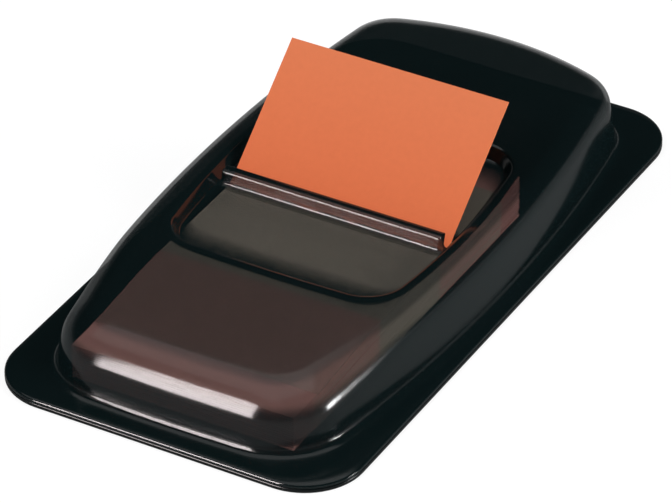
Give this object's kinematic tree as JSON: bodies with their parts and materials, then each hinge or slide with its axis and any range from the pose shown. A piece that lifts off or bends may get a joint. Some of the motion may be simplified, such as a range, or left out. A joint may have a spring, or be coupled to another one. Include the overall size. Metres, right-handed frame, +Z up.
{
  "type": "sticky index tab dispenser",
  "caption": "Low dispenser for sticky index tabs: a pack of film tabs under a domed smoked cover, with one tab drawn half out of the slot in its recess.",
  "frame": {"origin": "centre of the underside of the base sheet, on the surface that the dispenser lies on", "axes": "+Z up, +Y towards the back, which is the way the drawn tab leans, +X to the right as seen from the front"},
  "size_m": [0.04, 0.0764, 0.0165],
  "materials": {
    "base_sheet": "black plastic sheet, satin to glossy",
    "cover": "clear smoked plastic sheet, thermoformed and glossy",
    "tab_stack": "pack of satin film tabs, orange at the ends and clear in the middle",
    "drawn_tab": "satin orange film with a clear adhesive end"
  },
  "bodies": {
    "root": {"base_sheet": "base_sheet", "cover": "cover", "tab_stack": "tab_stack", "drawn_tab": "drawn_tab"}
  },
  "joints": []
}
